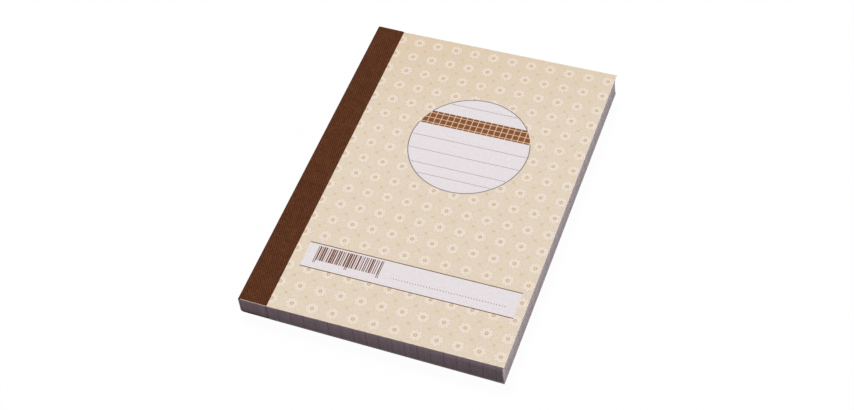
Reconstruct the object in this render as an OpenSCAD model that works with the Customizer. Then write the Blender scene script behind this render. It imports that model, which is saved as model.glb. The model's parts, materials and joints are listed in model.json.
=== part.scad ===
// Carbonless duplicate book with card covers, a stapled binding margin and a cloth-taped spine.
// +X runs from the spine to the fore-edge, +Y from the tail to the head, +Z up.
// The origin is in the middle of the book's length and width, on the surface it lies on.

/* [Book] */
// Width of the closed book, spine to fore-edge
book_w = 105; // [95:1:160]
// Length of the book, tail to head
book_l = 148; // [130:1:230]
// Number of sets, each an original and its copy
set_count = 50; // [10:5:60]

/* [Sheets] */
// Thickness of one sheet
sheet_t = 0.072; // [0.05:0.002:0.1]
// Air between two sheets where the binding presses them
stub_air = 0.0015; // [0.001:0.0005:0.005]
// Air between two sheets at the fore-edge
fore_air = 0.0255; // [0.01:0.0005:0.04]
// How far the sheets near the front stop short of the covers at the fore-edge
fore_trim = 0.6; // [0.1:0.1:2]
// How far the last sheet stops short there: the pile leans out towards the back cover
back_trim = 0.15; // [0.05:0.05:2]
// How far the sheets stop short of the covers at head and tail
end_trim = 0.15; // [0.05:0.05:1]

/* [Perforation] */
// Distance between two cuts of the tear-off line
cut_pitch = 1.5; // [1:0.1:4]
// Length of one cut
cut_l = 0.9; // [0.4:0.05:0.95]
// Depth of the notch that a cut leaves in the torn edge
cut_depth = 0.35; // [0.1:0.05:0.6]

/* [Covers] */
// Thickness of the cover card
card_t = 0.5; // [0.5:0.05:1]
// Gap at the crease between the bound strip of a sheet or cover and its opening part
crease_gap = 0.1; // [0.05:0.01:0.2]

/* [Spine tape] */
// Width of the tape on the front and on the back
tape_w = 11.8; // [9:0.1:20]
// Thickness of the cloth tape
tape_t = 0.25; // [0.15:0.05:0.4]
// Outer radius of the tape's two folds
fold_r = 1; // [0.5:0.05:1]
// Thickness of the glue between the sheets and the tape
glue_t = 0.2; // [0.1:0.05:0.5]

/* [Staples] */
// Thickness of the staple wire
wire_d = 0.45; // [0.3:0.05:0.5]
// Length of a staple's crown
crown_l = 12; // [8:0.5:20]
// Length of each clinched end
clinch_l = 4; // [2:0.5:5]
// Radius of the wire's bends, at the middle of the wire
bend_r = 0.3; // [0.3:0.05:0.35]
// Distance of the staples from the spine
staple_inset = 6; // [4:0.1:7.5]
// Distance between the middles of the two staples
staple_pitch = 80; // [50:1:100]
// Room round the wire in its holes and slots
wire_gap = 0.03; // [0.01:0.01:0.06]

/* [Writing shield] */
// Thickness of the loose card
shield_t = 0.25; // [0.15:0.05:0.5]
// Room above and below the loose card
slip_gap = 0.01; // [0.01:0.01:0.05]
// Distance of the loose card from the binding
shield_inset = 1.5; // [0.5:0.1:10]
// How far the loose card stops short of the sheets at head and tail
shield_trim = 1; // [0:0.1:5]
// Radius of the loose card's corners
shield_r = 3; // [1:0.5:10]

/* [Hidden] */
$fn = 48;
sheet_count = 2 * set_count;
single_sets = 5;
sets_in_group = 5;
lean_power = 3;

spine_x = -book_w / 2;
fore_x = book_w / 2;
crease_x = spine_x + tape_w;
leaf_x = crease_x + crease_gap;
sheet_l = book_l - 2 * end_trim;
stub_x = spine_x + tape_t + glue_t;
leaf_w = fore_x - fore_trim - leaf_x;
panel_w = fore_x - leaf_x;

stub_pitch = sheet_t + stub_air;
leaf_pitch = sheet_t + fore_air;
back_strip_z = tape_t;
first_stub_z = back_strip_z + card_t;
front_strip_z = first_stub_z + sheet_count * stub_pitch;
spine_h = front_strip_z + card_t + tape_t;
shield_z = card_t + slip_gap;
first_leaf_z = shield_z + shield_t + slip_gap;
panel_z = first_leaf_z + sheet_count * stub_pitch;

strip_x = spine_x + fold_r;
staple_x = spine_x + staple_inset;
slot_w = wire_d + 2 * wire_gap;
crown_half = crown_l / 2;

// Bundles of sets that turn together, counted from the front: each is [first set, last set].
single_bundles = [for (s = [1 : single_sets]) [s, s]];
group_bundles = [for (s = [single_sets + 1 : sets_in_group : set_count]) [s, s + sets_in_group - 1]];
bundles = concat(single_bundles, group_bundles);

function two_digits(n) = n < 10 ? str("0", n) : str(n);
function is_single(bundle) = bundle[0] == bundle[1];
function bundle_name(bundle, one, many) =
    is_single(bundle)
        ? str("set_", two_digits(bundle[0]), "_", one)
        : str("sets_", two_digits(bundle[0]), "_", two_digits(bundle[1]), "_", many);
function originals_name(bundle) = bundle_name(bundle, "original", "originals");
function copies_name(bundle) = bundle_name(bundle, "copy", "copies");

// Place of a sheet in the pile, counted from the back of the book; part is 0 for an original, 1 for its copy.
function level(set, part) = sheet_count - 1 - 2 * (set - 1) - part;
// Slope of the leaf or panel that lies on so many sheets: the pile is thicker at its fore-edge.
function slope(level) = atan(level * (leaf_pitch - stub_pitch) / leaf_w);
// How much wider than the front leaf a leaf is: the last few lean out to the back cover.
function lean(level) = (fore_trim - back_trim) * pow(1 - level / (sheet_count - 1), lean_power);

// A flat piece from x to x + w, as long as l and as thick as t, with its underside at z.
module slab(x, w, l, z, t) {
    translate([x, -l / 2, z])
        cube([w, l, t]);
}

// Fold line of the tape: a box whose two corners at the spine are round.
module fold_outline(inset, r) {
    x = inset;
    h = spine_h - 2 * inset;
    translate([x + r, inset])
        square([tape_w, h]);
    translate([x, inset + r])
        square([tape_w, h - 2 * r]);
    for (z = [inset + r, inset + h - r])
        translate([x + r, z])
            circle(r);
}

module spine_tape() {
    color([0.36, 0.22, 0.15])
        translate([spine_x, book_l / 2, 0])
            rotate([90, 0, 0])
                linear_extrude(book_l)
                    intersection() {
                        difference() {
                            fold_outline(0, fold_r);
                            fold_outline(tape_t, fold_r - tape_t);
                        }
                        square([tape_w, spine_h]);
                    }
}

module spine_glue() {
    color([0.93, 0.88, 0.72])
        slab(spine_x + tape_t, glue_t, sheet_l, fold_r, spine_h - 2 * fold_r);
}

// One staple in its own plane: x along the book, y up, with its crown and its clinched ends.
module staple_wire() {
    top = front_strip_z + card_t / 2;
    bottom = back_strip_z + card_t / 2;
    straight = crown_half - bend_r;
    translate([-straight, top, 0])
        rotate([0, 90, 0])
            cylinder(h = 2 * straight, d = wire_d);
    for (side = [0, 1])
        mirror([side, 0, 0]) {
            translate([straight, top - bend_r, 0])
                rotate_extrude(angle = 90)
                    translate([bend_r, 0])
                        circle(d = wire_d);
            translate([crown_half, bottom + bend_r, 0])
                rotate([-90, 0, 0])
                    cylinder(h = top - bottom - 2 * bend_r, d = wire_d);
            translate([straight, bottom + bend_r, 0])
                rotate([0, 0, -90])
                    rotate_extrude(angle = 90)
                        translate([bend_r, 0])
                            circle(d = wire_d);
            translate([straight - clinch_l, bottom, 0])
                rotate([0, 90, 0])
                    cylinder(h = clinch_l, d = wire_d);
        }
}

module staple(y) {
    color([0.72, 0.73, 0.75])
        translate([staple_x, y, 0])
            rotate([90, 0, 90])
                staple_wire();
}

// Places of the four staple legs, for whatever is drilled for them.
module at_legs() {
    for (y = [-staple_pitch / 2, staple_pitch / 2], leg = [-crown_half, crown_half])
        translate([staple_x, y + leg])
            children();
}

// Slot for a run of staple wire along the book, from y to y + l, with round ends.
module wire_slot(y, l) {
    translate([staple_x - slot_w / 2, y])
        square([slot_w, l]);
    for (end = [y, y + l])
        translate([staple_x, end])
            circle(d = slot_w);
}

module cover_strip_outline() {
    translate([strip_x, -book_l / 2])
        square([crease_x - strip_x, book_l]);
}

module front_cover_strip() {
    color([0.89, 0.82, 0.74])
        translate([0, 0, front_strip_z])
            linear_extrude(card_t)
                difference() {
                    cover_strip_outline();
                    for (y = [-staple_pitch / 2, staple_pitch / 2])
                        wire_slot(y - crown_half, crown_l);
                }
}

module back_cover_strip() {
    run = clinch_l + bend_r;
    color([0.89, 0.82, 0.74])
        translate([0, 0, back_strip_z])
            linear_extrude(card_t)
                difference() {
                    cover_strip_outline();
                    for (y = [-staple_pitch / 2, staple_pitch / 2]) {
                        wire_slot(y - crown_half, run);
                        wire_slot(y + crown_half - run, run);
                    }
                }
}

// Bound margins of all originals (part 0) or of all copies (part 1), drilled by the staples.
module stubs(part) {
    for (set = [1 : set_count])
        translate([0, 0, first_stub_z + level(set, part) * stub_pitch])
            linear_extrude(sheet_t)
                difference() {
                    translate([stub_x, -sheet_l / 2])
                        square([crease_x - stub_x, sheet_l]);
                    at_legs()
                        circle(d = slot_w);
                }
}

module original_stubs() {
    color([0.95, 0.95, 0.96])
        stubs(0);
}

module copy_stubs() {
    color([0.93, 0.78, 0.82])
        stubs(1);
}

// Row of notches that the cuts of the tear-off line leave in a leaf's bound edge.
module torn_edge_notches() {
    cuts = floor((sheet_l - cut_l) / cut_pitch);
    for (i = [0 : cuts])
        translate([-cut_depth, (i - cuts / 2) * cut_pitch - cut_l / 2])
            square([2 * cut_depth, cut_l]);
}

module leaf_outline(w, perforated) {
    difference() {
        translate([0, -sheet_l / 2])
            square([w, sheet_l]);
        if (perforated)
            torn_edge_notches();
    }
}

// Opening part of one sheet, lying on the sheets below it.
module leaf(set, part, perforated) {
    at = level(set, part);
    translate([leaf_x, 0, first_leaf_z + at * stub_pitch])
        rotate([0, -slope(at), 0])
            linear_extrude(sheet_t)
                leaf_outline(leaf_w + lean(at), perforated);
}

module originals(bundle) {
    color([0.95, 0.95, 0.96])
        for (set = [bundle[0] : bundle[1]])
            leaf(set, 0, is_single(bundle));
}

module copies(bundle) {
    color([0.93, 0.78, 0.82])
        for (set = [bundle[0] : bundle[1]])
            leaf(set, 1, false);
}

module front_cover() {
    color([0.89, 0.82, 0.74])
        translate([leaf_x, 0, panel_z])
            rotate([0, -slope(sheet_count), 0])
                slab(0, panel_w, book_l, 0, card_t);
}

module back_cover() {
    color([0.89, 0.82, 0.74])
        slab(leaf_x, panel_w, book_l, 0, card_t);
}

module writing_shield() {
    w = leaf_x + leaf_w - crease_x - shield_inset;
    l = sheet_l - 2 * shield_trim;
    color([0.62, 0.55, 0.46])
        translate([crease_x + shield_inset, -l / 2, shield_z])
            linear_extrude(shield_t) {
                translate([shield_r, 0])
                    square([w - 2 * shield_r, l]);
                translate([0, shield_r])
                    square([w, l - 2 * shield_r]);
                for (x = [shield_r, w - shield_r], y = [shield_r, l - shield_r])
                    translate([x, y])
                        circle(shield_r);
            }
}

spine_tape();
spine_glue();
staple(staple_pitch / 2);  // head_staple
staple(-staple_pitch / 2);  // tail_staple
front_cover_strip();
back_cover_strip();
original_stubs();
copy_stubs();
front_cover();
back_cover();
writing_shield();
for (bundle = bundles) {
    originals(bundle);
    copies(bundle);
}
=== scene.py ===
# %% [markdown]
# A pocket copy book in Blender.
# The book holds fifty sets of an original and a self-copying sheet, between two card covers and under a
# cloth tape that is folded round the spine. Its construction comes as a fixed frame of solids at their real
# size. This lesson adds what paper, card and cloth look like, and builds them with close points where the
# book opens.

# %% Load the frame
import json
import math

import bpy
import numpy as np
from mathutils import Matrix, Vector


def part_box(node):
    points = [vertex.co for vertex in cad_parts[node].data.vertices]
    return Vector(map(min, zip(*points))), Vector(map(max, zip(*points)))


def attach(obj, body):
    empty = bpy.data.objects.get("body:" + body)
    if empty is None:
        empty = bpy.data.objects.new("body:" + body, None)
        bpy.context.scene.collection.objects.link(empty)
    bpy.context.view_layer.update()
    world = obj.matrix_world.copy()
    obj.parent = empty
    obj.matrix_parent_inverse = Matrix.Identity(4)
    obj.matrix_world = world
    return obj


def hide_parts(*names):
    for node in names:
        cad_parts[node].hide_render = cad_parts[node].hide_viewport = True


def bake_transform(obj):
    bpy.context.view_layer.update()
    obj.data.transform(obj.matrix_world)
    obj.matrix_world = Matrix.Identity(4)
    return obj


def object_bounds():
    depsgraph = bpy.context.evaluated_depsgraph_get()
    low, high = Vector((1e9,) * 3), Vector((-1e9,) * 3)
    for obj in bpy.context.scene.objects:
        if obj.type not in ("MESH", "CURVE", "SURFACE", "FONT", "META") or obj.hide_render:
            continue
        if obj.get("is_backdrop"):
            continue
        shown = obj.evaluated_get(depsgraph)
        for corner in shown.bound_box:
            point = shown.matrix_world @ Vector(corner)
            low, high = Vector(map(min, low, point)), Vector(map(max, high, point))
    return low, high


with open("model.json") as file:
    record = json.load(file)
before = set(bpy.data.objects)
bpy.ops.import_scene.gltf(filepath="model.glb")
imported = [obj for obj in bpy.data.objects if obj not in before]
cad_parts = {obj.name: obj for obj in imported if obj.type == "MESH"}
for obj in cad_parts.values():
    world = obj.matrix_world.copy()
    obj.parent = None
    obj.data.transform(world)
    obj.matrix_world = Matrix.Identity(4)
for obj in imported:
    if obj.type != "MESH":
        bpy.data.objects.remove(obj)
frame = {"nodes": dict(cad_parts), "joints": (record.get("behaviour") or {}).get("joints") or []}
cad_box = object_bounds()
scene = bpy.context.scene
MM = 0.001

# %% [markdown]
# Every later step takes its places from the same few edges of the book: the spine, the crease where the
# tape ends and the covers bend, the fore-edge, the tail and the head. They are read from the frame, so
# the looks follow the construction. Values that were chosen have names in capitals, and values that are
# worked out from the frame have names in small letters.

# %% Read the edges of the book
tape_low, tape_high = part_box("spine_tape")
back_low, back_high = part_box("back_cover")
panel_low, panel_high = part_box("front_cover")
spine_x = tape_low.x
crease_x = tape_high.x
fore_x = back_high.x
tail_y = tape_low.y
head_y = tape_high.y
book_w = fore_x - spine_x
book_l = head_y - tail_y
card_t = back_high.z - back_low.z
hinge_points = {joint["child"]: Vector(joint["pos_m"]) for joint in frame["joints"] if "pos_m" in joint}
print("book:", [round(size / MM, 2) for size in (book_w, book_l, panel_high.z)], "mm")

# %% [markdown]
# The camera stands in front of the tail, a little to the right, and looks down on the cover with a long
# lens. Its angles were found by matching the corners of the book in the photograph, which fixes the lens
# too: a shorter lens would make the head end look narrower than it is. The picture is tilted by a few
# degrees, so the camera is rolled about its own line of sight.

# %% Set up the camera
LENS_MM = 66.801
SENSOR_MM = 36.0
VIEW_AZIMUTH = 23.979
VIEW_ELEVATION = 51.798
VIEW_ROLL = 5.202
VIEW_DISTANCE = 616.295 * MM
VIEW_AIM = Vector((0.103, -10.542, 8.0)) * MM
NEAREST_SEEN = 0.01
FURTHEST_SEEN = 20.0


def looking_at(aim, distance, azimuth, elevation, roll=0.0):
    """Place and turn of a camera or a light that looks at the aim from a distance.

    Back points from the aim to the eye, and roll turns up towards right."""
    turn, rise, tilt = (math.radians(angle) for angle in (azimuth, elevation, roll))
    back = Vector((math.sin(turn) * math.cos(rise), -math.cos(turn) * math.cos(rise), math.sin(rise)))
    level_right = Vector((0, 0, 1)).cross(back).normalized()
    level_up = back.cross(level_right)
    up = level_up * math.cos(tilt) + level_right * math.sin(tilt)
    axes = Matrix((up.cross(back), up, back)).transposed()
    return Matrix.LocRotScale(aim + back * distance, axes.to_quaternion(), None)


camera_data = bpy.data.cameras.new("photo_camera")
camera_data.lens = LENS_MM
camera_data.sensor_width = SENSOR_MM
camera_data.clip_start = NEAREST_SEEN
camera_data.clip_end = FURTHEST_SEEN
camera = bpy.data.objects.new("photo_camera", camera_data)
camera.matrix_world = looking_at(VIEW_AIM, VIEW_DISTANCE, VIEW_AZIMUTH, VIEW_ELEVATION, VIEW_ROLL)
scene.collection.objects.link(camera)
scene.camera = camera
print("camera at", [round(value / MM, 1) for value in camera.location], "mm")

# %% [markdown]
# The studio is a white table under soft light. The cover is bright, the fore-edge is in half light and
# the tail is dark, so the main light stands very high, behind the head and to the left. It can't reach
# the fore-edge, which lies under the rim of the cover, so a low light on the right is there for that, and
# a weak one on the left keeps the spine from going black. The tail only gets a faint light from all
# round, which is almost neutral, so that an open page looks white.

# %% Set up the lights
AMBIENT = (0.215, 0.208, 0.213, 1.0)
WHITE = (1.0, 1.0, 1.0, 1.0)
LIGHT_DISTANCE = 5.0
LIGHT_SIZE = 0.9
# A Mix node also has sockets for numbers and vectors. These are the places of those for colours.
MIX_A = 6
MIX_B = 7
MIX_RESULT = 2
scene.view_settings.view_transform = "Standard"


def soft_box(name, azimuth, elevation, watts):
    """A square area light on a sphere round the book, turned to face it."""
    data = bpy.data.lights.new(name, "AREA")
    data.size = LIGHT_SIZE
    data.energy = watts
    light = bpy.data.objects.new(name, data)
    light.matrix_world = looking_at(Vector(), LIGHT_DISTANCE, azimuth, elevation)
    scene.collection.objects.link(light)
    return light


lights = [
    soft_box("main_light", azimuth=225, elevation=77, watts=161),
    soft_box("fore_light", azimuth=100, elevation=8, watts=129),
    soft_box("spine_light", azimuth=262, elevation=20, watts=30),
]
world = bpy.data.worlds.new("studio")
scene.world = world
world.use_nodes = True
sky_tree = world.node_tree
path = sky_tree.nodes.new("ShaderNodeLightPath")
sky = sky_tree.nodes.new("ShaderNodeMix")
sky.data_type = "RGBA"
sky.inputs[MIX_A].default_value = AMBIENT
sky.inputs[MIX_B].default_value = WHITE
sky_tree.links.new(path.outputs["Is Camera Ray"], sky.inputs[0])
sky_tree.links.new(sky.outputs[MIX_RESULT], sky_tree.nodes["Background"].inputs["Color"])
print("lights:", ", ".join(light.name for light in lights))

# %% [markdown]
# The table glows, as a sheet lit from below does in a product photograph, but it sends no light up to the
# book, whose tail would get too bright. It lies a few millimetres lower than the book, so that the back
# cover has room when it is folded right round.

# %% Set up the table
TABLE_GLOW = 0.97
TABLE_ALBEDO = 0.03
TABLE_SIZE = 6.0
TABLE_DROP = 4 * MM
half = TABLE_SIZE / 2
table_z = cad_box[0].z - TABLE_DROP
table_mesh = bpy.data.meshes.new("table")
table_mesh.from_pydata(
    [(-half, -half, table_z), (half, -half, table_z), (half, half, table_z), (-half, half, table_z)],
    [],
    [(0, 1, 2, 3)],
)
table = bpy.data.objects.new("table", table_mesh)
scene.collection.objects.link(table)
table_white = bpy.data.materials.new("table_white")
table_white.use_nodes = True
table_shader = table_white.node_tree.nodes["Principled BSDF"]
table_shader.inputs["Base Color"].default_value = (TABLE_ALBEDO, TABLE_ALBEDO, TABLE_ALBEDO, 1)
table_shader.inputs["Roughness"].default_value = 1.0
table_shader.inputs["Specular IOR Level"].default_value = 0.0
table_shader.inputs["Emission Color"].default_value = WHITE
table_shader.inputs["Emission Strength"].default_value = TABLE_GLOW
table_mesh.materials.append(table_white)
table.visible_diffuse = False
table.visible_glossy = False
table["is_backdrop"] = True
print("table at", round(table_z / MM, 2), "mm")

# %% [markdown]
# Print, weave and ruling are drawn by nodes, as sums and products of distances. A painted picture would
# blur close to. Nodes written out one at a time are hard to read, so a small class does the wiring: a
# Field is a number at every point of a surface, and arithmetic on fields adds Math nodes. Distances are
# in millimetres from the spine and the tail. A rigid piece takes them from its Object coordinates, and a
# piece that bends from a map of its own, called page, so that its print bends with it.

# %% A field and its arithmetic


class Field:
    """A number at every point of a surface: one output of a node."""

    def __init__(self, socket):
        self.socket = socket
        self.tree = socket.id_data

    def math(self, operation, *others, clamp=False):
        """A Math node with this field as its first input. The others are fields or plain numbers."""
        node = self.tree.nodes.new("ShaderNodeMath")
        node.operation = operation
        node.use_clamp = clamp
        for socket, value in zip(node.inputs, (self, *others)):
            if isinstance(value, Field):
                self.tree.links.new(value.socket, socket)
            else:
                socket.default_value = value
        return Field(node.outputs[0])

    def __add__(self, other):
        return self.math("ADD", other)

    def __sub__(self, other):
        return self.math("SUBTRACT", other)

    def __mul__(self, other):
        return self.math("MULTIPLY", other)

    def __abs__(self):
        return self.math("ABSOLUTE")

    def from_nearest(self, first, pitch):
        """Signed distance to the nearest of a row of lines that starts at first."""
        return (self - first).math("WRAP", pitch / 2, -pitch / 2)

    def chance_by_step(self, pitch):
        """A chance number from 0 to 1 that is even over each step of the field and changes at the next."""
        step = (self * (1 / pitch)).math("FLOOR")
        node = self.tree.nodes.new("ShaderNodeTexWhiteNoise")
        node.noise_dimensions = "1D"
        self.tree.links.new(step.socket, node.inputs["W"])
        return Field(node.outputs["Value"])

    def chance_by_cell(self, pitch, other, other_pitch):
        """The same over the cells of a net, of which this field and the other are the two sides."""
        cell = self.tree.nodes.new("ShaderNodeCombineXYZ")
        for socket, side in zip(cell.inputs, (self * (1 / pitch), other * (1 / other_pitch))):
            self.tree.links.new(side.math("FLOOR").socket, socket)
        node = self.tree.nodes.new("ShaderNodeTexWhiteNoise")
        node.noise_dimensions = "2D"
        self.tree.links.new(cell.outputs[0], node.inputs["Vector"])
        return Field(node.outputs["Value"])

    def under(self, limit, soft):
        """1 where the field is under the limit and 0 where it is over, with a border as wide as soft."""
        return ((self - limit) * (-1 / soft)).math("ADD", 0.5, clamp=True)

    def over(self, limit, soft):
        """The same the other way round: 1 over the limit and 0 under it."""
        return ((self - limit) * (1 / soft)).math("ADD", 0.5, clamp=True)

    def both(self, other):
        """What two shapes share: the smaller of the two fields."""
        return self.math("MINIMUM", other)

    def either(self, other):
        """What one shape or the other covers: the larger of the two fields."""
        return self.math("MAXIMUM", other)

    def between(self, low, high, soft):
        """1 where the field lies between two limits."""
        return self.over(low, soft).both(self.under(high, soft))

    def outside(self):
        """1 where a shape isn't, and 0 where it is."""
        return self * -1 + 1


def length_of(across, along):
    """Length of the arrow whose two parts are given: the root of the sum of their squares."""
    return (across * across + along * along).math("SQRT")


print("a field has", sum(not name.startswith("_") for name in vars(Field)), "operations besides arithmetic")

# %% Colours


def srgb(red, green, blue):
    """A colour as a picture shows it, from 0 to 255, made linear for the shader."""
    parts = np.array((red, green, blue)) / 255
    linear = np.where(parts <= 0.04045, parts / 12.92, ((parts + 0.055) / 1.055) ** 2.4)
    return (*linear.tolist(), 1.0)


def inked(ground, ink, amount):
    """The ground's colour where the amount is 0 and the ink's where it is 1.

    Either colour may be a node's output."""
    tree = amount.tree
    node = tree.nodes.new("ShaderNodeMix")
    node.data_type = "RGBA"
    tree.links.new(amount.socket, node.inputs[0])
    for socket, colour in zip((node.inputs[MIX_A], node.inputs[MIX_B]), (ground, ink)):
        if isinstance(colour, bpy.types.NodeSocket):
            tree.links.new(colour, socket)
        else:
            socket.default_value = colour
    return node.outputs[MIX_RESULT]


def toned(colour, strength):
    """A node's colour made darker or lighter by a field: each channel is multiplied by it."""
    tree = strength.tree
    node = tree.nodes.new("ShaderNodeVectorMath")
    node.operation = "SCALE"
    tree.links.new(colour, node.inputs[0])
    tree.links.new(strength.socket, node.inputs["Scale"])
    return node.outputs[0]


print("a grey of 128 is", round(srgb(128, 128, 128)[0], 3), "in linear light")

# %% Materials, places and noise


def new_finish(name, specular):
    """A material with one shader, whose specular level is the same all over."""
    material = bpy.data.materials.new(name)
    material.use_nodes = True
    shader = material.node_tree.nodes["Principled BSDF"]
    shader.inputs["Specular IOR Level"].default_value = specular
    return material, shader


def places(shader, mapped):
    """Millimetres from the spine, from the tail and up, and the same three as one vector."""
    tree = shader.id_data
    if mapped:
        source = tree.nodes.new("ShaderNodeUVMap")
        source.uv_map = "page"
        vector = source.outputs["UV"]
    else:
        source = tree.nodes.new("ShaderNodeTexCoord")
        mapping = tree.nodes.new("ShaderNodeMapping")
        mapping.inputs["Location"].default_value = (-spine_x / MM, -tail_y / MM, 0)
        mapping.inputs["Scale"].default_value = (1 / MM, 1 / MM, 1 / MM)
        tree.links.new(source.outputs["Object"], mapping.inputs["Vector"])
        vector = mapping.outputs["Vector"]
    parts = tree.nodes.new("ShaderNodeSeparateXYZ")
    tree.links.new(vector, parts.inputs[0])
    return (*(Field(parts.outputs[axis]) for axis in "XYZ"), vector)


def cloudy(vector, size_mm, detail=2.0, stretch=(1, 1, 1)):
    """Soft noise from 0 to 1 whose patches are about size_mm wide, stretched along the axes."""
    tree = vector.id_data
    mapping = tree.nodes.new("ShaderNodeMapping")
    mapping.inputs["Scale"].default_value = tuple(1 / (size_mm * part) for part in stretch)
    noise = tree.nodes.new("ShaderNodeTexNoise")
    noise.inputs["Scale"].default_value = 1.0
    noise.inputs["Detail"].default_value = detail
    tree.links.new(vector, mapping.inputs["Vector"])
    tree.links.new(mapping.outputs["Vector"], noise.inputs["Vector"])
    return Field(noise.outputs[0])


def raise_bumps(shader, height, depth_mm, strength):
    """Turns the shader's normal as if the surface rose by depth_mm where the height is 1."""
    tree = shader.id_data
    bump = tree.nodes.new("ShaderNodeBump")
    bump.inputs["Strength"].default_value = strength
    bump.inputs["Distance"].default_value = depth_mm * MM
    tree.links.new(height.socket, bump.inputs["Height"])
    tree.links.new(bump.outputs["Normal"], shader.inputs["Normal"])


def vary_roughness(shader, field, low, high):
    """Roughness from low, where the field is 0, to high, where it is 1."""
    shader.id_data.links.new((field * (high - low) + low).socket, shader.inputs["Roughness"])


def paint(shader, colour):
    shader.id_data.links.new(colour, shader.inputs["Base Color"])


print("distances count from", [round(edge / MM, 2) for edge in (spine_x, tail_y)], "mm")

# %% [markdown]
# The cover is cream card with an all-over print, a round label to write on and a white band with a row of
# bars. The all-over print is a plain one, as on old endpapers: rosettes on a square net, joined by a thin
# slanting trellis with a lozenge where its lines cross. Each shape is a test on a distance: a disc is
# where the distance to its middle is under its radius, a line is where the distance to it is under half
# its width, and a rosette is a disc whose radius swings with the angle. Soft is the width over which the
# ink ends.

# %% The net of rosettes
TRELLIS_LINE = srgb(226, 205, 170)
OCHRE = srgb(208, 170, 116)
TRELLIS_INK = 0.5
THIN_INK = 0.45
HEART_INK = 0.8
SOFT_INK = 0.08
SOFT_PETAL = 0.2
SOFT_HEART = 0.15
NET_PITCH = 8.2
PETAL_COUNT = 8
PETAL_ROOT = 1.75
PETAL_LENGTH = 0.95
OUTLINE_HALF_WIDTH = 0.12
VEIN_LIMIT = 0.3
VEIN_END = 2.05
HEART_RADIUS = 0.78
HEART_HOLE = 0.3
LOZENGE_REACH = 0.62
TRELLIS_HALF_WIDTH = 0.2


def net_of_rosettes(across, along, ground, petal):
    """Rosettes on a square net, with a slanting trellis between them and a lozenge at its crossings.

    A rosette's edge lies at the petal's root plus its length times the size of a cosine that swings once
    for each petal. Each petal has a thin vein, and the heart is a ring."""
    u = across.from_nearest(NET_PITCH / 2, NET_PITCH)
    v = along.from_nearest(NET_PITCH / 2, NET_PITCH)
    reach = length_of(u, v)
    half_turns = v.math("ARCTAN2", u) * (PETAL_COUNT / 2)
    edge = reach - (abs(half_turns.math("COSINE")) * PETAL_LENGTH + PETAL_ROOT)
    outline = abs(edge).under(OUTLINE_HALF_WIDTH, soft=0.14)
    vein = (abs(half_turns.math("SINE")) * reach).under(VEIN_LIMIT, SOFT_PETAL)
    vein = vein.both(reach.between(HEART_RADIUS, VEIN_END, soft=0.3))
    slant_up = abs((across + along).from_nearest(0, NET_PITCH)).under(TRELLIS_HALF_WIDTH, SOFT_INK)
    slant_down = abs((across - along).from_nearest(0, NET_PITCH)).under(TRELLIS_HALF_WIDTH, SOFT_INK)
    lozenge = abs(across.from_nearest(0, NET_PITCH)) + abs(along.from_nearest(0, NET_PITCH))
    colour = inked(ground, TRELLIS_LINE, slant_up.either(slant_down) * TRELLIS_INK)
    colour = inked(colour, OCHRE, lozenge.under(LOZENGE_REACH, SOFT_INK) * HEART_INK)
    colour = inked(colour, petal, lozenge.under(LOZENGE_REACH / 2, SOFT_INK))
    colour = inked(colour, petal, edge.under(0, SOFT_PETAL))
    colour = inked(colour, OCHRE, outline * THIN_INK)
    colour = inked(colour, OCHRE, vein * THIN_INK)
    colour = inked(colour, OCHRE, reach.under(HEART_RADIUS, SOFT_HEART) * HEART_INK)
    return inked(colour, petal, reach.under(HEART_HOLE, SOFT_HEART) * HEART_INK)


print("a rosette every", NET_PITCH, "mm,", 2 * (PETAL_ROOT + PETAL_LENGTH), "mm across")

# %% The label
LABEL_WHITE = srgb(236, 229, 231)
LABEL_LINE = srgb(176, 168, 168)
LABEL_RIM = srgb(128, 119, 124)
CHECK_BROWN = srgb(134, 84, 48)
CHECK_TAN = srgb(232, 192, 160)
LABEL_ACROSS = 58.95
LABEL_ALONG = 95.25
LABEL_RADIUS = 24.4
LABEL_MARGIN = 0.4
LABEL_LINES = (76.8, 81.75, 88.65, 95.6, 114.6)
LINE_HALF_WIDTH = 0.14
RIM_HALF_WIDTH = 0.19
CHECK_LOW = 102.15
CHECK_HIGH = 109.25
CHECK_PITCH = 2.55
CHECK_MIDDLE = 105.55
CHECK_HALF_WIDTH = 0.17


def draw_label(across, along, ground):
    """A white disc with a thin rim, ruled lines to write on and a strip of checks across it."""
    reach = length_of(across - LABEL_ACROSS, along - LABEL_ALONG)
    disc = reach.under(LABEL_RADIUS, SOFT_INK)
    colour = inked(ground, LABEL_WHITE, disc)
    for line in LABEL_LINES:
        ruled = abs(along - line).under(LINE_HALF_WIDTH, SOFT_INK)
        ruled = ruled.both(reach.under(LABEL_RADIUS - LABEL_MARGIN, SOFT_INK))
        colour = inked(colour, LABEL_LINE, ruled)
    strip = along.between(CHECK_LOW, CHECK_HIGH, SOFT_INK)
    upright = abs(across.from_nearest(LABEL_ACROSS, CHECK_PITCH)).under(CHECK_HALF_WIDTH, SOFT_INK)
    level = abs(along.from_nearest(CHECK_MIDDLE, CHECK_PITCH)).under(CHECK_HALF_WIDTH, SOFT_INK)
    checks = strip.both(disc)
    colour = inked(colour, CHECK_BROWN, checks)
    colour = inked(colour, CHECK_TAN, checks.both(upright.either(level)))
    rim = abs(reach - LABEL_RADIUS).under(RIM_HALF_WIDTH, SOFT_INK)
    return inked(colour, LABEL_RIM, rim.both(strip.outside()))


print("label:", 2 * LABEL_RADIUS, "mm across, with", len(LABEL_LINES), "lines")

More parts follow.
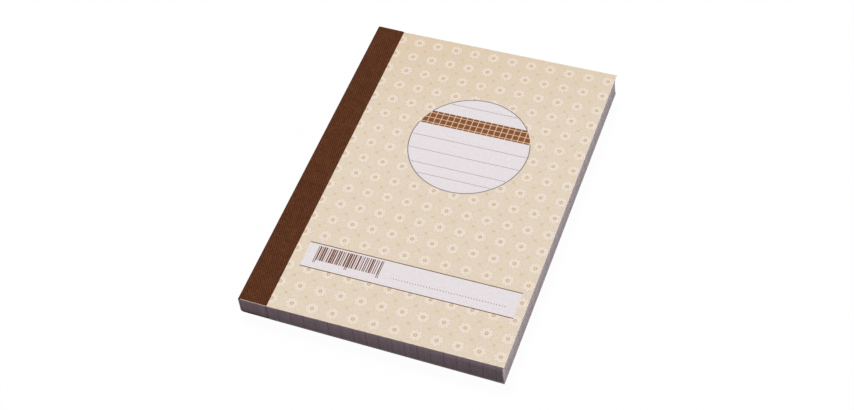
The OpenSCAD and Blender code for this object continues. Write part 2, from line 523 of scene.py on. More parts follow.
# %% The band
BAND_LINE = srgb(112, 78, 54)
BAR_BROWN = srgb(122, 76, 48)
BAND_LEFT = 16.4
BAND_RIGHT = 101.6
BAND_LOW = 21.3
BAND_HIGH = 32.9
BAND_HALF_WIDTH = 0.19
BARS_LEFT = 20.9
BARS_RIGHT = 46.6
BARS_LOW = 25.3
BARS_HIGH = 32.0
BAR_COUNT = 30
BAR_THINNEST = 0.11
BAR_SPREAD = 0.26
BAR_ASIDE = 0.25
GUARD_LOW = 24.0
GUARD_OFF = 0.3
GUARD_HALF_WIDTH = 0.14
SOFT_BAR = 0.04
SOFT_ROW = 0.02
DOTS_LEFT = 52.0
DOTS_RIGHT = 98.0
DOTS_ALONG = 25.4
DOTS_PITCH = 1.1
DOT_RADIUS = 0.2
OTHER_CHANCES = 1000


def draw_bars(across, along, ground):
    """A row of plain bars, one in each of its steps.

    Chance numbers set the width of a bar and how far it stands off the middle of its step. Three pairs of
    thin bars, at the ends and in the middle, are longer than the rest."""
    row_w = BARS_RIGHT - BARS_LEFT
    step = row_w / BAR_COUNT
    half_width = (across - BARS_LEFT).chance_by_step(step) * BAR_SPREAD + BAR_THINNEST
    aside = ((across - BARS_LEFT + OTHER_CHANCES * step).chance_by_step(step) - 0.5) * BAR_ASIDE
    bar = abs(across.from_nearest(BARS_LEFT + step / 2, step) + aside) - half_width
    row = across.between(BARS_LEFT, BARS_RIGHT, SOFT_ROW).both(along.between(BARS_LOW, BARS_HIGH, SOFT_INK))
    colour = inked(ground, BAR_BROWN, row.both(bar.under(0, SOFT_BAR)))
    guard = abs(abs(across.from_nearest(BARS_LEFT, row_w / 2)) - GUARD_OFF)
    row = across.between(BARS_LEFT - 2 * GUARD_OFF, BARS_RIGHT + 2 * GUARD_OFF, SOFT_ROW)
    row = row.both(along.between(GUARD_LOW, BARS_HIGH, SOFT_INK))
    return inked(colour, BAR_BROWN, row.both(guard.under(GUARD_HALF_WIDTH, SOFT_BAR)))


def draw_band(across, along, ground):
    """A white band between two brown lines, with bars near its left end and a dotted line to write on."""
    width = across.between(BAND_LEFT, BAND_RIGHT, SOFT_INK)
    band = width.both(along.between(BAND_LOW, BAND_HIGH, SOFT_INK))
    colour = draw_bars(across, along, inked(ground, LABEL_WHITE, band))
    dots = length_of(across.from_nearest(DOTS_LEFT, DOTS_PITCH), along - DOTS_ALONG)
    dots = dots.under(DOT_RADIUS, SOFT_INK).both(across.between(DOTS_LEFT, DOTS_RIGHT, SOFT_INK))
    colour = inked(colour, BAND_LINE, dots)
    for line in (BAND_LOW, BAND_HIGH):
        colour = inked(colour, BAND_LINE, abs(along - line).under(BAND_HALF_WIDTH, SOFT_INK).both(width))
    return colour


print("band:", round(BAND_RIGHT - BAND_LEFT, 1), "by", round(BAND_HIGH - BAND_LOW, 1), "mm")

# %% [markdown]
# Under the print the card is not one even cream, which would look like plastic. It has clouds and fibres,
# it is yellower towards the head on the side of the spine, and it is rubbed pale along the cuts. The
# insides and the cut edges are bare card. The front cover has a pale core. The back cover's cut edges, and
# its strip under the tape, are dark grey: painted shade along the bottom of the book.

# %% Printed card
CREAM = srgb(233, 218, 197)
CREAM_SHADE = srgb(227, 209, 185)
CREAM_TOWARDS_HEAD = srgb(227, 207, 179)
CREAM_RUBBED = srgb(240, 230, 216)
PETAL = srgb(242, 231, 218)
PETAL_TOWARDS_HEAD = srgb(240, 226, 209)
YELLOW_SLANT = 0.35
YELLOW_MIDDLE = 115
YELLOW_SPREAD = 60
RUBBED_WIDTH = 0.35
FIBRE_TONE = 0.16
MOTTLE_TONE = 0.18
DARKEST_TONE = 0.83


def printed_card(name, with_label):
    """Card with a ground that is yellower towards the head, the net of rosettes, grain and rubbed edges.

    The tint grows with the way from the tail less about a third of the way from the spine."""
    material, shader = new_finish(name, specular=0.15)
    across, along, _, vector = places(shader, mapped=True)
    clouds = cloudy(vector, size_mm=9, detail=3)
    towards_head = (along - across * YELLOW_SLANT).over(YELLOW_MIDDLE, YELLOW_SPREAD)
    ground = inked(CREAM, CREAM_SHADE, clouds.over(0.55, soft=0.5) * 0.3)
    ground = inked(ground, CREAM_TOWARDS_HEAD, towards_head)
    petal = inked(PETAL, PETAL_TOWARDS_HEAD, towards_head)
    colour = net_of_rosettes(across, along, ground, petal)
    if with_label:
        colour = draw_label(across, along, colour)
        colour = draw_band(across, along, colour)
    fibres = cloudy(vector, size_mm=0.45, detail=3)
    mottle = cloudy(vector, size_mm=1.2)
    colour = toned(colour, fibres * FIBRE_TONE + mottle * MOTTLE_TONE + DARKEST_TONE)
    to_fore = across * -1 + book_w / MM
    to_end = along.both(along * -1 + book_l / MM)
    handled = cloudy(vector, size_mm=2.2).over(0.45, soft=0.3)
    rubbed = to_fore.both(to_end).under(RUBBED_WIDTH, soft=0.5) * handled
    paint(shader, inked(colour, CREAM_RUBBED, rubbed * 0.6))
    vary_roughness(shader, fibres, low=0.54, high=0.7)
    raise_bumps(shader, fibres, depth_mm=0.02, strength=0.25)
    return material


front_print = printed_card("front_print", with_label=True)
back_print = printed_card("back_print", with_label=False)
print("printed:", front_print.name, "and", back_print.name)

# %% Bare card
# Dark grey for the back cover's cut edges and its strip under the tape: painted shade along the bottom of
# the book.
BOTTOM_SHADE_GREY = (srgb(106, 93, 91), srgb(86, 74, 71))


def plain_card(name, light, dark, mapped):
    """Bare card: two tones of pulp in soft clouds, with short fibres."""
    material, shader = new_finish(name, specular=0.25)
    *_, vector = places(shader, mapped)
    fibres = cloudy(vector, size_mm=0.6, detail=4, stretch=(0.5, 1.6, 1))
    clouds = cloudy(vector, size_mm=7, detail=3)
    colour = inked(light, dark, clouds.over(0.55, soft=0.6) * 0.5)
    paint(shader, inked(colour, dark, fibres.over(0.6, soft=0.25) * 0.45))
    vary_roughness(shader, fibres, low=0.72, high=0.88)
    raise_bumps(shader, fibres, depth_mm=0.02, strength=0.35)
    return material


card_inside = plain_card("card_inside", srgb(236, 231, 222), srgb(222, 214, 202), mapped=True)
card_edge = plain_card("card_edge", srgb(226, 210, 200), srgb(206, 188, 176), mapped=True)
card_bound = plain_card("card_bound", srgb(232, 214, 200), srgb(212, 190, 174), mapped=False)
back_edge_shaded = plain_card("back_edge_shaded", *BOTTOM_SHADE_GREY, mapped=True)
back_strip_shaded = plain_card("back_strip_shaded", *BOTTOM_SHADE_GREY, mapped=False)
print("bare card:", card_inside.name, card_edge.name, card_bound.name, back_edge_shaded.name, back_strip_shaded.name)

# %% [markdown]
# The sheets are thin self-copying paper, white for originals and pink for copies. Their squared ruling runs
# off the edges, so the side of the pile shows a tick every five millimetres. The squares are a hair wider
# across than along, as they get when paper takes up damp. Lines painted on a block would give the same
# ticks, but here every sheet is a piece, so one drawing serves its faces and its cut edges. An edge also
# has marks of the knife, and it is darker than a face: painted shade for the gaps between the sheets. The
# ends, at the tail and the head, are rosier than the sides, a painted tint of the rosy light that falls in
# shade, and their ticks get stronger towards the fore-edge, where the sheets lie loose. A sheet that bends
# carries the tone of its edges, painted shade and light included, as attributes, set where the pile is
# made, and a rigid stub takes its tone from its height.

# %% The two papers
PITCH_ACROSS = 5.037
PITCH_ALONG = 5.0
FIRST_ACROSS = 1.06
FIRST_ALONG = 3.7
RULING_HALF_WIDTH = 0.09
RULING_INK = srgb(106, 97, 138)
# How much ink there is at the spine and at the fore-edge.
FACE_INK = (0.62, 0.62)
SIDE_INK = (0.42, 0.42)
END_INK = (0.45, 0.95)
KNIFE_MARKS = 0.46
# Cut edges are darker than faces: painted shade for the gaps between the sheets, more at the ends than at
# the sides.
END_SHADED_TONE = 0.6
UNEVEN_TONE = 0.09
# Painted shade towards the bottom of the pile, and the height over which it fades on a stub.
LOW_PAINTED_SHADE = 0.36
LOW_SHADE_HEIGHT = 8.4
STUB_STEP = 0.09
BY_HEIGHT = "by_height"
ORIGINAL_FACE = (srgb(240, 239, 240), srgb(230, 228, 231))
# The ends' rosy colours are a painted tint of rosy light in shade.
ORIGINAL_END_ROSY_LIGHT = (srgb(247, 225, 238), srgb(237, 215, 229))
COPY_FACE = (srgb(241, 221, 226), srgb(231, 208, 214))
COPY_END_ROSY_LIGHT = (srgb(248, 208, 224), srgb(238, 196, 212))


def edge_tone(up, tone):
    """How light a cut edge is: the attribute of this name, or a tone by height.

    By height it falls with the square of the depth under the top, a painted shade towards the bottom as on
    the sheets, and it is darkened by painted shade for the gaps between the sheets."""
    if tone == BY_HEIGHT:
        low = (up * (-1 / LOW_SHADE_HEIGHT) + 1).math("MAXIMUM", 0)
        uneven = (up.chance_by_step(STUB_STEP) - 0.5) * (2 * UNEVEN_TONE)
        return (uneven - low * low * LOW_PAINTED_SHADE + 1) * END_SHADED_TONE
    carried = up.tree.nodes.new("ShaderNodeAttribute")
    carried.attribute_name = tone
    return Field(carried.outputs["Fac"])


def ruled_paper(name, tints, ink, mapped=True, tone=None):
    """Paper with fine clouding from its fibres, and two families of thin lines that cross in squares.

    A cut edge is given a tone, and has knife marks: noise along the page that doesn't change from sheet
    to sheet, so that it makes upright streaks on the side of the pile."""
    material, shader = new_finish(name, specular=0.15)
    across, along, up, vector = places(shader, mapped)
    fibres = cloudy(vector, size_mm=0.8, detail=4)
    colour = inked(*tints, fibres.over(0.55, soft=0.4))
    upright = abs(across.from_nearest(FIRST_ACROSS, PITCH_ACROSS)).under(RULING_HALF_WIDTH, SOFT_INK)
    level = abs(along.from_nearest(FIRST_ALONG, PITCH_ALONG)).under(RULING_HALF_WIDTH, SOFT_INK)
    at_spine, at_fore = ink
    depth = across * ((at_fore - at_spine) * MM / book_w) + at_spine
    colour = inked(colour, RULING_INK, upright.either(level) * depth)
    if tone:
        streaks = cloudy(vector, size_mm=1.1, detail=3, stretch=(1, 1, 40))
        colour = toned(colour, ((streaks - 0.5) * (2 * KNIFE_MARKS) + 1) * edge_tone(up, tone))
    paint(shader, colour)
    vary_roughness(shader, fibres, low=0.74, high=0.86)
    raise_bumps(shader, fibres, depth_mm=0.01, strength=0.25)
    return material


def paper_set(name, faces, ends):
    """Face, ends and sides of a sheet that bends, and a rigid sheet and a rigid stub of the same paper."""
    return {
        "face": ruled_paper(f"{name}_face", faces, FACE_INK),
        "end": ruled_paper(f"{name}_end", ends, END_INK, tone="end_tone_shade_and_light"),
        "side": ruled_paper(f"{name}_side", faces, SIDE_INK, tone="side_tone_and_shade"),
        "leaf": ruled_paper(f"{name}_leaf", faces, FACE_INK, mapped=False),
        "stub": ruled_paper(f"{name}_stub", ends, END_INK, mapped=False, tone=BY_HEIGHT),
    }


original_paper = paper_set("original", ORIGINAL_FACE, ORIGINAL_END_ROSY_LIGHT)
copy_paper = paper_set("copy", COPY_FACE, COPY_END_ROSY_LIGHT)
print("paper for", ", ".join(original_paper), "in white and pink")

# %% [markdown]
# The tape is coarse cotton cloth, dyed dark brown and filled with starch. The threads along the spine lie
# about two to the millimetre, and those across it wider apart. They could be modelled one by one, but
# from further off only a fine speckle is left of them, so they are drawn. The weave is the product of two
# waves: above zero the thread along the spine is on top and looks lighter, and below it the one across.
# Its size, greatest in the middle of a crossing, serves as height, and the hollows between the threads get
# a painted shade. The dye takes a little differently at each crossing.

# %% The tape's cloth
TAPE_BROWN = srgb(89, 50, 28)
TAPE_WORN = srgb(104, 62, 40)
WARP_PITCH = 0.48
WEFT_PITCH = 0.71
WEFT_CHANCES = 500
FLOAT_CONTRAST = 0.62
CROSSING_DYE = 1.0
THREAD_DYE = 0.16
SLUB_DYE = 0.25
# Painted shade in the hollows between the threads.
HOLLOW_PAINTED_SHADE = 0.3
MEAN_RAISE = 0.4
WEAVE_RELIEF = 0.6


def tape_cloth_finish():
    """Plain weave of two families of threads, with painted shade in the hollows, uneven dye and worn
    patches.
    """
    material, shader = new_finish("tape_cloth", specular=0.1)
    across, along, _, vector = places(shader, mapped=True)
    weave = (across * (math.pi / WARP_PITCH)).math("SINE") * (along * (math.pi / WEFT_PITCH)).math("SINE")
    raised = abs(weave)
    on_top = weave.over(0, soft=0.5)
    warp = across.chance_by_step(WARP_PITCH)
    weft = (along + WEFT_CHANCES).chance_by_step(WEFT_PITCH)
    thread = warp * on_top + weft * on_top.outside()
    crossing = across.chance_by_cell(WARP_PITCH, along, WEFT_PITCH)
    slubs = cloudy(vector, size_mm=0.4, detail=3, stretch=(1, 2, 1))
    patches = cloudy(vector, size_mm=5, detail=3)
    dye = (crossing - 0.5) * raised * CROSSING_DYE + (thread - 0.5) * THREAD_DYE + (slubs - 0.5) * SLUB_DYE
    depth = dye + weave * FLOAT_CONTRAST + (raised - MEAN_RAISE) * HOLLOW_PAINTED_SHADE + 1
    colour = inked(TAPE_BROWN, TAPE_WORN, patches.over(0.6, soft=0.3) * 0.5)
    paint(shader, toned(colour, depth))
    vary_roughness(shader, raised, low=0.92, high=0.78)
    raise_bumps(shader, raised * WEAVE_RELIEF + slubs, depth_mm=0.05, strength=0.5)
    return material


tape_cloth = tape_cloth_finish()
print("tape:", round(1 / WARP_PITCH, 2), "threads to each millimetre of its width")

# %% [markdown]
# The rest of the binding hardly shows: the dried glue behind the sheets, the staple wire through the
# margin and the loose board that goes under the set in use. Each still has the finish of its own
# material, because the book can be taken apart. Their solids, and those of the bound strips, the stubs
# and the first original with its perforation, are right as they are, so they keep their shape and only
# get a finish.

# %% Glue, wire and the loose board
GLUE_YELLOW = (srgb(236, 226, 190), srgb(214, 196, 150))
ZINC_GREY = (srgb(204, 206, 210), srgb(160, 163, 168))


def two_toned(name, tints, rough, metallic=0.0, **noise):
    """A smooth rigid finish in two tones of soft noise, rougher where the second tone is."""
    material, shader = new_finish(name, specular=0.5)
    shader.inputs["Metallic"].default_value = metallic
    *_, vector = places(shader, mapped=False)
    patches = cloudy(vector, **noise)
    paint(shader, inked(*tints, patches.over(0.5, soft=0.4)))
    vary_roughness(shader, patches, *rough)
    return material


board_brown = plain_card("board_brown", srgb(178, 160, 134), srgb(146, 126, 100), mapped=False)
binding_glue = two_toned("binding_glue", GLUE_YELLOW, (0.3, 0.6), size_mm=1.6, detail=3)
# The wire has streaks from the die it went through.
staple_wire = two_toned("staple_wire", ZINC_GREY, (0.22, 0.47), 1.0, size_mm=0.12, stretch=(1, 12, 1))
plain_nodes = {
    "spine_glue": binding_glue,
    "head_staple": staple_wire,
    "tail_staple": staple_wire,
    "front_cover_strip": card_bound,
    "back_cover_strip": back_strip_shaded,
    "original_stubs": original_paper["stub"],
    "copy_stubs": copy_paper["stub"],
    "writing_shield": board_brown,
    "set_01_original": original_paper["leaf"],
}
for node, finish in plain_nodes.items():
    mesh = frame["nodes"][node].data
    mesh.materials.clear()
    mesh.materials.append(finish)
print("finished as they are:", ", ".join(plain_nodes))

# %% [markdown]
# Sheets, covers and tape are all thin slabs: an upper and an under surface, given as points on a grid,
# and a narrow wall all round. A Solidify modifier could make the walls, but the sheets of a bundle differ
# and the walls have finishes of their own, so one function builds any number of slabs as a closed mesh.
# The faces are smooth, so that they bend softly. The walls are flat and every edge of one is marked
# sharp, or the renderer would round a whole page off towards them, like a pillow.

# %% A closed slab from two grids of points
QUAD = 4
FIRST_WALL = 2


def slab_quads(sheets, columns, rows):
    """Corner numbers of the quads of closed slabs: upper faces, under faces, walls at ends, walls at sides.

    Points are numbered sheet by sheet, column by column and row by row, the under ones first."""
    under = np.arange(sheets * columns * rows).reshape(sheets, columns, rows)
    upper = under + under.size

    def quads(*corners):
        return np.stack([corner.ravel() for corner in corners], axis=1)

    top = quads(upper[:, :-1, :-1], upper[:, 1:, :-1], upper[:, 1:, 1:], upper[:, :-1, 1:])
    bottom = quads(under[:, :-1, :-1], under[:, :-1, 1:], under[:, 1:, 1:], under[:, 1:, :-1])
    tail = quads(under[:, :-1, 0], under[:, 1:, 0], upper[:, 1:, 0], upper[:, :-1, 0])
    head = quads(under[:, 1:, -1], under[:, :-1, -1], upper[:, :-1, -1], upper[:, 1:, -1])
    spine = quads(under[:, 0, 1:], under[:, 0, :-1], upper[:, 0, :-1], upper[:, 0, 1:])
    fore = quads(under[:, -1, :-1], under[:, -1, 1:], upper[:, -1, 1:], upper[:, -1, :-1])
    return top, bottom, np.concatenate([tail, head]), np.concatenate([spine, fore])


def slab_piece(name, upper, under, page, finishes, carried=None):
    """A mesh object from upper and under points of shape (sheets, columns, rows, 3), in metres.

    page gives each point's place on the flat piece in millimetres. finishes are the materials of the upper
    face, the under face, the ends and the sides. carried, if given, names arrays of shape (sheets, columns)
    that become attributes."""
    sheets, columns, rows = upper.shape[:3]
    points = np.concatenate([under.reshape(-1, 3), upper.reshape(-1, 3)])
    flat = np.concatenate([page.reshape(-1, 2), page.reshape(-1, 2)])
    kinds = slab_quads(sheets, columns, rows)
    quads = np.concatenate(kinds)
    kind = np.repeat(np.arange(len(kinds)), [len(part) for part in kinds])
    mesh = bpy.data.meshes.new(name)
    mesh.vertices.add(len(points))
    mesh.vertices.foreach_set("co", points.astype(np.float32).ravel())
    mesh.loops.add(quads.size)
    mesh.loops.foreach_set("vertex_index", quads.astype(np.int32).ravel())
    mesh.polygons.add(len(quads))
    mesh.polygons.foreach_set("loop_start", np.arange(0, quads.size, QUAD, dtype=np.int32))
    mesh.polygons.foreach_set("material_index", kind.astype(np.int32))
    mesh.update(calc_edges=True)
    mesh.polygons.foreach_set("use_smooth", kind < FIRST_WALL)
    edge_of_corner = np.empty(quads.size, np.int32)
    mesh.loops.foreach_get("edge_index", edge_of_corner)
    of_wall = np.zeros(len(mesh.edges), bool)
    of_wall[edge_of_corner.reshape(-1, QUAD)[kind >= FIRST_WALL]] = True
    mesh.edges.foreach_set("use_edge_sharp", of_wall)
    mesh.uv_layers.new(name="page").data.foreach_set("uv", flat[quads.ravel()].astype(np.float32).ravel())
    for label, values in (carried or {}).items():
        by_point = np.tile(np.repeat(values.ravel(), rows), 2).astype(np.float32)
        mesh.attributes.new(label, "FLOAT", "POINT").data.foreach_set("value", by_point)
    for finish in finishes:
        mesh.materials.append(finish)
    piece = bpy.data.objects.new(name, mesh)
    scene.collection.objects.link(piece)
    return piece


def page_of(points):
    """Millimetres from the spine and from the tail, for points of a piece that lies flat at rest."""
    return (points[..., :2] - (spine_x, tail_y)) / MM


print("a slab of 2 x 2 points has", sum(len(part) for part in slab_quads(1, 2, 2)), "faces")

# %% [markdown]
# The pile is a wedge: the binding presses the sheets, and towards the fore-edge a little air lies between
# them. A block with lines on its sides would look much the same while the book is shut, but it couldn't
# open. So every sheet is there: sheet number n starts n pitches up and slopes n times a small angle. The
# sheets also differ. Those near the back reach further out, no two are trimmed quite alike, and the
# ruling of no two has quite the same place, which blurs the ticks on the side of the pile.

# %% The rule of the pile
SHEET_T = 0.072 * MM
SET_COUNT = 50
LEAN_POWER = 3
UNEVEN_CUT = 0.045 * MM
UNEVEN_RULING_MM = (0.13, 0.3)
BEND_COLUMNS = 9
FLAT_COLUMNS = 4
top_low, top_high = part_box("set_01_original")
last_low, last_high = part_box("sets_46_50_copies")
sheet_count = 2 * SET_COUNT
leaf_x = last_low.x
leaf_tail = last_low.y
leaf_head = last_high.y
root_pitch = (top_low.z - last_low.z) / (sheet_count - 1)
rise = (top_high.z - top_low.z - SHEET_T) / (top_high.x - leaf_x) / (sheet_count - 1)
front_reach = top_high.x - leaf_x
lean_most = last_high.x - top_high.x
chance = np.random.default_rng(17)
uneven = chance.uniform(-1, 0, (sheet_count, 3)) * UNEVEN_CUT
ruling_shift = chance.normal(0, UNEVEN_RULING_MM, (sheet_count, 2))


def level_of(set_number, part):
    """Place in the pile counted from the back of the book; part is 0 for an original and 1 for a copy."""
    return sheet_count - 1 - 2 * (set_number - 1) - part


def leaf_grids(levels, bend):
    """Upper and under points of the sheets at these levels.

    A point lies at a distance d from the crease along a line that starts level pitches up and rises by
    level times rise for each unit of d. The distances are closer together from the crease to bend."""
    levels = np.asarray(levels)
    lean = lean_most * (1 - levels / (sheet_count - 1)) ** LEAN_POWER
    reach = front_reach + lean + uneven[levels, 0]
    near = np.broadcast_to(np.linspace(crease_x - leaf_x, bend, BEND_COLUMNS), (len(levels), BEND_COLUMNS))
    beyond = np.linspace(0, 1, FLAT_COLUMNS + 1)[1:]
    d = np.concatenate([near, bend + (reach[:, None] - bend) * beyond], axis=1)
    y = np.stack([leaf_tail - uneven[levels, 1], leaf_head + uneven[levels, 2]], axis=1)
    slope = np.arctan(levels * rise)[:, None]
    x = leaf_x + d * np.cos(slope)
    z = last_low.z + levels[:, None] * root_pitch + d * np.sin(slope)
    under = np.stack(np.broadcast_arrays(x[:, :, None], y[:, None, :], z[:, :, None]), axis=-1)
    across = np.stack([-np.sin(slope), 0 * slope, np.cos(slope)], axis=-1)[:, :, None, :]
    return under + across * SHEET_T, under


print("pile: pitch", round(root_pitch / MM, 4), "mm, slope of the top sheet",
      round(math.degrees(math.atan(rise * (sheet_count - 1))), 3), "degrees")

# %% [markdown]
# The cut edges of the pile are not one grey. Every sheet has a tone of its own, and a painted shade makes
# the edges darker towards the back, which lies lowest. The ends are darker over the last stretch before the
# fore corner, and painted light makes the loose sheets at the top of the pile lighter there.
# Paint over the whole side of a block could show this, but it would tear when the leaves turn. So the
# tones are worked out once for every sheet and column, and the mesh carries them.

# %% The tones of the edges
# Painted shade for the gaps between the sheets, on the sides of the pile.
SIDE_SHADED_TONE = 0.8
# The ends are darker over the last stretch before the fore corner, except under the loose sheets.
CORNER_DARKENING = 0.22
CORNER_DARKER_FROM = 0.66
# Painted light on the ends of the loose sheets at the top, growing towards the fore corner.
LOOSE_LIGHT = 0.45
LOOSE_FROM = 0.68
LOOSE_FULL = 0.9
# Each sheet's own tone at random, less a painted shade that grows towards the back, which lies lowest.
nearness_to_back = np.linspace(1, 0, sheet_count)
shades = 1 + chance.uniform(-1, 1, sheet_count) * UNEVEN_TONE - LOW_PAINTED_SHADE * nearness_to_back**2


def edge_tones(levels, across):
    """Tones of the sides and of the ends of these sheets, at points given in millimetres from the spine.

    A side has its sheet's own tone, with the painted shade towards the back. The ends are darker over the
    last stretch before the fore corner, while painted light makes the loose sheets at the top lighter, more
    so the further from the spine. Sides and ends are both darkened by painted shade for the gaps between
    the sheets."""
    height = np.asarray(levels)[:, None] / (sheet_count - 1)
    side = np.broadcast_to(shades[levels][:, None], across.shape)
    outward = across / (book_w / MM)
    corner_darkening = CORNER_DARKENING * np.clip((outward - CORNER_DARKER_FROM) / (1 - CORNER_DARKER_FROM), 0, 1)
    loose = np.clip((height - LOOSE_FROM) / (LOOSE_FULL - LOOSE_FROM), 0, 1)
    end = side * (1 - corner_darkening * (1 - loose) + LOOSE_LIGHT * loose * outward)
    return {"side_tone_and_shade": side * SIDE_SHADED_TONE, "end_tone_shade_and_light": end * END_SHADED_TONE}


print("shades of the sheets: from", round(shades.min(), 2), "to", round(shades.max(), 2))

# %% [markdown]
# The sheets of one bundle share an object. Near the crease their points lie close together, over a stretch
# that is shorter for the upper bundles than for the lower ones.

# %% The bundles of sheets
SHORTEST_BEND = 4 * MM
BEND_PER_DEPTH = 2.2
FIRST_GROUP = 6
SETS_IN_GROUP = 5
bundles = [(number, number) for number in range(1, FIRST_GROUP)]
bundles += [(first, first + SETS_IN_GROUP - 1) for first in range(FIRST_GROUP, SET_COUNT, SETS_IN_GROUP)]


def bundle_names(first, last):
    """The body of a bundle and its nodes of originals and of copies."""
    if first == last:
        body = f"set_{first:02d}"
        return body, f"{body}_original", f"{body}_copy"
    body = f"sets_{first:02d}_{last:02d}"
    return body, f"{body}_originals", f"{body}_copies"


def bend_length(body, lowest_level):
    """Length near the crease where the points lie close: longer for sheets that lie deeper under the line
    they turn about.
    """
    depth = hinge_points[body].z - (last_low.z + lowest_level * root_pitch)
    return max(SHORTEST_BEND, BEND_PER_DEPTH * depth)


leaf_pieces = []
for first, last in bundles:
    body, *nodes = bundle_names(first, last)
    bend = bend_length(body, level_of(last, 1))
    for part, node in enumerate(nodes):
        if node in plain_nodes:
            continue
        levels = [level_of(number, part) for number in range(first, last + 1)]
        upper, under = leaf_grids(levels, bend)
        paper = (original_paper, copy_paper)[part]
        page = page_of(under)
        tones = edge_tones(levels, page[:, :, 0, 0])
        ruled = page + ruling_shift[levels][:, None, None, :]
        finishes = (paper["face"], paper["face"], paper["end"], paper["side"])
        piece = slab_piece(f"{node}_leaves", upper, under, ruled, finishes, tones)
        crease_x + bend
        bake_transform(piece)
        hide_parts(node)
        leaf_pieces.append(piece)
print(len(leaf_pieces), "leaf pieces with", sum(len(piece.data.polygons) for piece in leaf_pieces), "faces")

# %% [markdown]
# The covers are card half a millimetre thick. A stiff panel on a hinge line would open a gap, so each panel
# is a slab with close points over its first few millimetres, where the card would bend. The front cover
# opens by itself and also goes over with the leaves, so it is made of two slabs: a fold between the tape
# and the first leaf, and the panel, which starts where that fold ends. At rest the fold is a tenth of a
# millimetre wide. Were it wider, it would rise through the first leaf, which is stiff. A bevel about a
# fifth of a millimetre wide catches the light along the cut edges, and a line of points close to each cut
# keeps its soft shading out of the rest of the panel.

# %% Soft edges on cut card
BEVEL_W = 0.18 * MM


def soften_cuts(piece, columns, rows, fore_cut):
    """Bevels the edges at the tail and the head of a slab, and at its fore-edge too if that is a cut.

    A corner's number gives its column and its row, so an edge of the slab lies along a cut where both its
    corners have the first row, the last row or the last column."""
    mesh = piece.data
    corners = np.empty(2 * len(mesh.edges), np.int32)
    mesh.edges.foreach_get("vertices", corners)
    layer, place = np.divmod(corners.reshape(-1, 2), columns * rows)
    column, row = np.divmod(place, rows)
    level = layer[:, 0] == layer[:, 1]
    last = (column == columns - 1).all(axis=1)
    cut = ((row == 0).all(axis=1) | (row == rows - 1).all(axis=1)) & level
    if fore_cut:
        cut |= last & (level | np.isin(row[:, 0], (0, rows - 1)))
    weights = mesh.attributes.new("bevel_weight_edge", "FLOAT", "EDGE")
    weights.data.foreach_set("value", cut.astype(np.float32))
    bevel = piece.modifiers.new("cut_edge", "BEVEL")
    bevel.width = BEVEL_W
    bevel.segments = 2
    bevel.limit_method = "WEIGHT"


print("bevel:", round(BEVEL_W / MM, 2), "mm")

# %% The two covers
COVER_BEND = 3 * MM
CUT_BAND = 0.4 * MM
COVER_ROWS = 5
FOLD_COLUMNS = 13
PANEL_BEND_COLUMNS = 11
PANEL_FLAT_COLUMNS = 6
fold_width = top_low.x - crease_x
inner_rows = np.linspace(tail_y + CUT_BAND, head_y - CUT_BAND, COVER_ROWS)
cover_y = np.concatenate([(tail_y,), inner_rows, (head_y,)])


def card_slab(name, finishes, distances, slope, root_z, fore_cut):
    """Card along a line that leaves the crease at root_z and rises with the slope, from tail to head."""
    x = crease_x + distances * math.cos(slope)
    z = root_z + distances * math.sin(slope)
    grids = np.broadcast_arrays(x[None, :, None], cover_y[None, None, :], z[None, :, None])
    under = np.stack(grids, axis=-1)
    upper = under + np.array((-math.sin(slope), 0, math.cos(slope))) * card_t
    piece = slab_piece(name, upper, under, page_of(under), finishes)
    soften_cuts(piece, len(distances), len(cover_y), fore_cut)
    return piece


def panel_distances(first, reach):
    """Close steps over the first few millimetres, wide ones beyond, and a narrow one along the cut."""
    bend_end = first + COVER_BEND
    beyond = np.linspace(bend_end, reach - CUT_BAND, PANEL_FLAT_COLUMNS + 1)[1:]
    return np.concatenate([np.linspace(first, bend_end, PANEL_BEND_COLUMNS), beyond, (reach,)])


panel_slope = math.asin((panel_high.z - panel_low.z - card_t) / (fore_x - leaf_x))
front_finishes = (front_print, card_inside, card_edge, card_edge)
back_finishes = (card_inside, back_print, back_edge_shaded, back_edge_shaded)
fold_steps = np.linspace(0, fold_width, FOLD_COLUMNS)
front_fold = card_slab("front_cover_fold", front_finishes, fold_steps, panel_slope, panel_low.z, False)
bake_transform(front_fold)
front_steps = panel_distances(fold_width, (panel_high.x - crease_x) / math.cos(panel_slope))
front_panel = card_slab("front_cover_panel", front_finishes, front_steps, panel_slope, panel_low.z, True)
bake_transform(front_panel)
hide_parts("front_cover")
back_steps = panel_distances(0, fore_x - crease_x)
back_panel = card_slab("back_cover_panel", back_finishes, back_steps, 0, back_low.z, True)
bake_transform(back_panel)
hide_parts("back_cover")
print("front cover slopes", round(math.degrees(panel_slope), 3), "degrees")

# %% [markdown]
# The tape is one strip of cloth folded round the spine: along the back, round a fold, up the spine, round
# the second fold and along the front. It could be draped by a simulation, but glue holds it to the card
# all over, so its shape is known. Its profile is that path, drawn by its own length, and it is carried
# from the tail to the head. The cloth thins out at its two long edges, where it was pressed down, and the
# cut isn't quite straight. It stops a hair short of the card at the tail, where a pale line of card
# shows.

# %% The spine tape
TAPE_T = 0.25 * MM
FOLD_R = 1.0 * MM
PRESSED_W = 0.5 * MM
PRESSED_T = 0.45
TAIL_SHORT = 0.22 * MM
HEAD_SHORT = 0.06 * MM
WANDER = 0.06 * MM
WANDER_REACH = 3 * MM
LONG_WAVE = 9 * MM
SHORT_WAVE = 3.7 * MM
PROFILE_POINTS = (15, 7, 5, 7, 15)
STATION_COUNT = 60


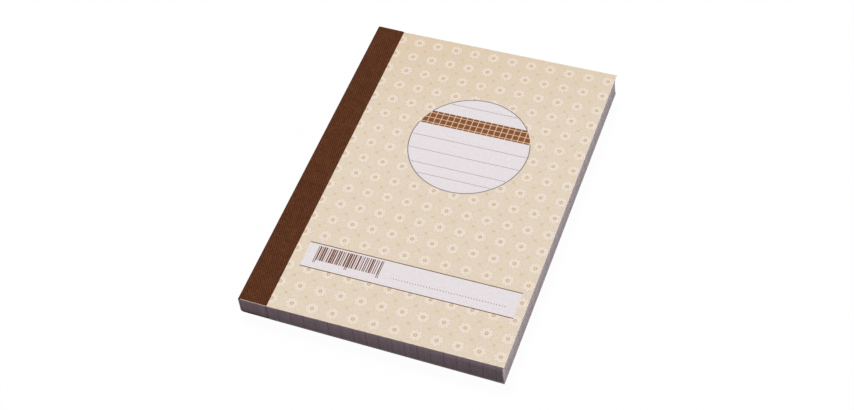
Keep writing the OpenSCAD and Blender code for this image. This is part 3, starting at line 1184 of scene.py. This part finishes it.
def tape_path(counts):
    """Points and outward directions along the folded profile, and the length up to each.

    The path has two flats, two quarter circles and the upright between them, across the spine."""
    flat = crease_x - spine_x - FOLD_R
    upright = tape_high.z - tape_low.z - 2 * FOLD_R
    quarter = math.pi / 2
    ends = np.cumsum([0, flat, FOLD_R * quarter, upright, FOLD_R * quarter, flat])
    s = np.unique(np.concatenate([np.linspace(a, b, n) for a, b, n in zip(ends, ends[1:], counts)]))
    first_fold = np.clip((s - ends[1]) / FOLD_R, 0, quarter)
    second_fold = np.clip((s - ends[3]) / FOLD_R, 0, quarter)
    out_x = -np.sin(first_fold + second_fold)
    out_z = -np.cos(first_fold + second_fold)
    along_back = np.clip(flat - s, 0, flat)
    along_front = np.clip(s - ends[4], 0, flat)
    climbed = np.clip(s - ends[2], 0, upright)
    x = spine_x + FOLD_R * (1 + out_x) + along_back + along_front
    z = tape_low.z + FOLD_R * (1 + out_z) + climbed
    return np.stack([x, z], axis=1), np.stack([out_x, out_z], axis=1), s


profile, outward, run = tape_path(PROFILE_POINTS)
tape_width = float(run[-1])
to_edge = np.minimum(run, tape_width - run)
thickness = TAPE_T * (PRESSED_T + (1 - PRESSED_T) * np.clip(to_edge / PRESSED_W, 0, 1) ** 0.5)
stations = np.linspace(tail_y + TAIL_SHORT, head_y - HEAD_SHORT, STATION_COUNT)
wander = WANDER * (0.5 + 0.3 * np.sin(stations / LONG_WAVE) + 0.2 * np.sin(stations / SHORT_WAVE + 1))
pull = np.clip(1 - to_edge / WANDER_REACH, 0, 1)[:, None] * wander[None, :]
inner = profile - outward * TAPE_T
outer = inner + outward * thickness[:, None]


def along_spine(flat_profile):
    """The profile carried from the tail to the head, with its long edges drawn in by the uneven cut."""
    x = flat_profile[:, 0][:, None] - pull
    y = np.broadcast_to(stations[None, :], x.shape)
    z = np.broadcast_to(flat_profile[:, 1][:, None], x.shape)
    return np.stack([x, y, z], axis=-1)[None]


tape_page = np.stack(np.broadcast_arrays(run[:, None], stations[None, :] - tail_y), axis=-1)[None] / MM
tape = slab_piece("spine_tape_cloth", along_spine(outer), along_spine(inner), tape_page, (tape_cloth,) * 4)
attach(tape, "binding")
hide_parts("spine_tape")

# %% [markdown]
# The looks never change the size of the book. The box of the frame, kept from the start, and the box of
# what shows now are written down side by side before the script ends.

# %% Compare the two boxes and finish
look_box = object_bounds()
for name, box in (("frame", cad_box), ("looks", look_box)):
    print(name, "box:", [round((high - low) / MM, 2) for low, high in zip(*box)], "mm")
